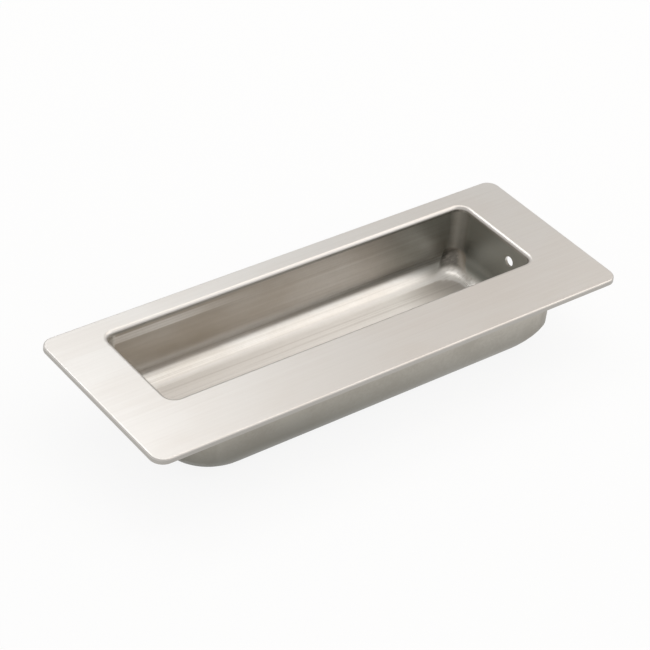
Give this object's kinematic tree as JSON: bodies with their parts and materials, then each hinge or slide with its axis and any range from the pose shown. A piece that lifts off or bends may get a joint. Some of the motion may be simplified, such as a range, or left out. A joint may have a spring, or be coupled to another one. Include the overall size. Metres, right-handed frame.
{
  "type": "recessed pull handle",
  "caption": "Rectangular flush pull: a flat face plate with an offset finger opening over a shallow cup whose front reaches under the plate's lip, for a sliding door or drawer.",
  "frame": {"origin": "on the door's face, at the centre of the plate's outline, in the plane of the plate's back face", "axes": "+X along the handle, +Y across it towards the narrow strip of the plate behind the opening, +Z out of the door; the cup goes into the door along -Z"},
  "size_m": [0.125, 0.045, 0.0169],
  "materials": {
    "plate_steel": "satin stainless steel, brushed lengthways",
    "cup_steel": "satin stainless steel, brushed lengthways, slightly greyer pressed sheet"
  },
  "bodies": {
    "root": {"face_plate": "plate_steel", "pull_cup": "cup_steel"}
  },
  "joints": []
}
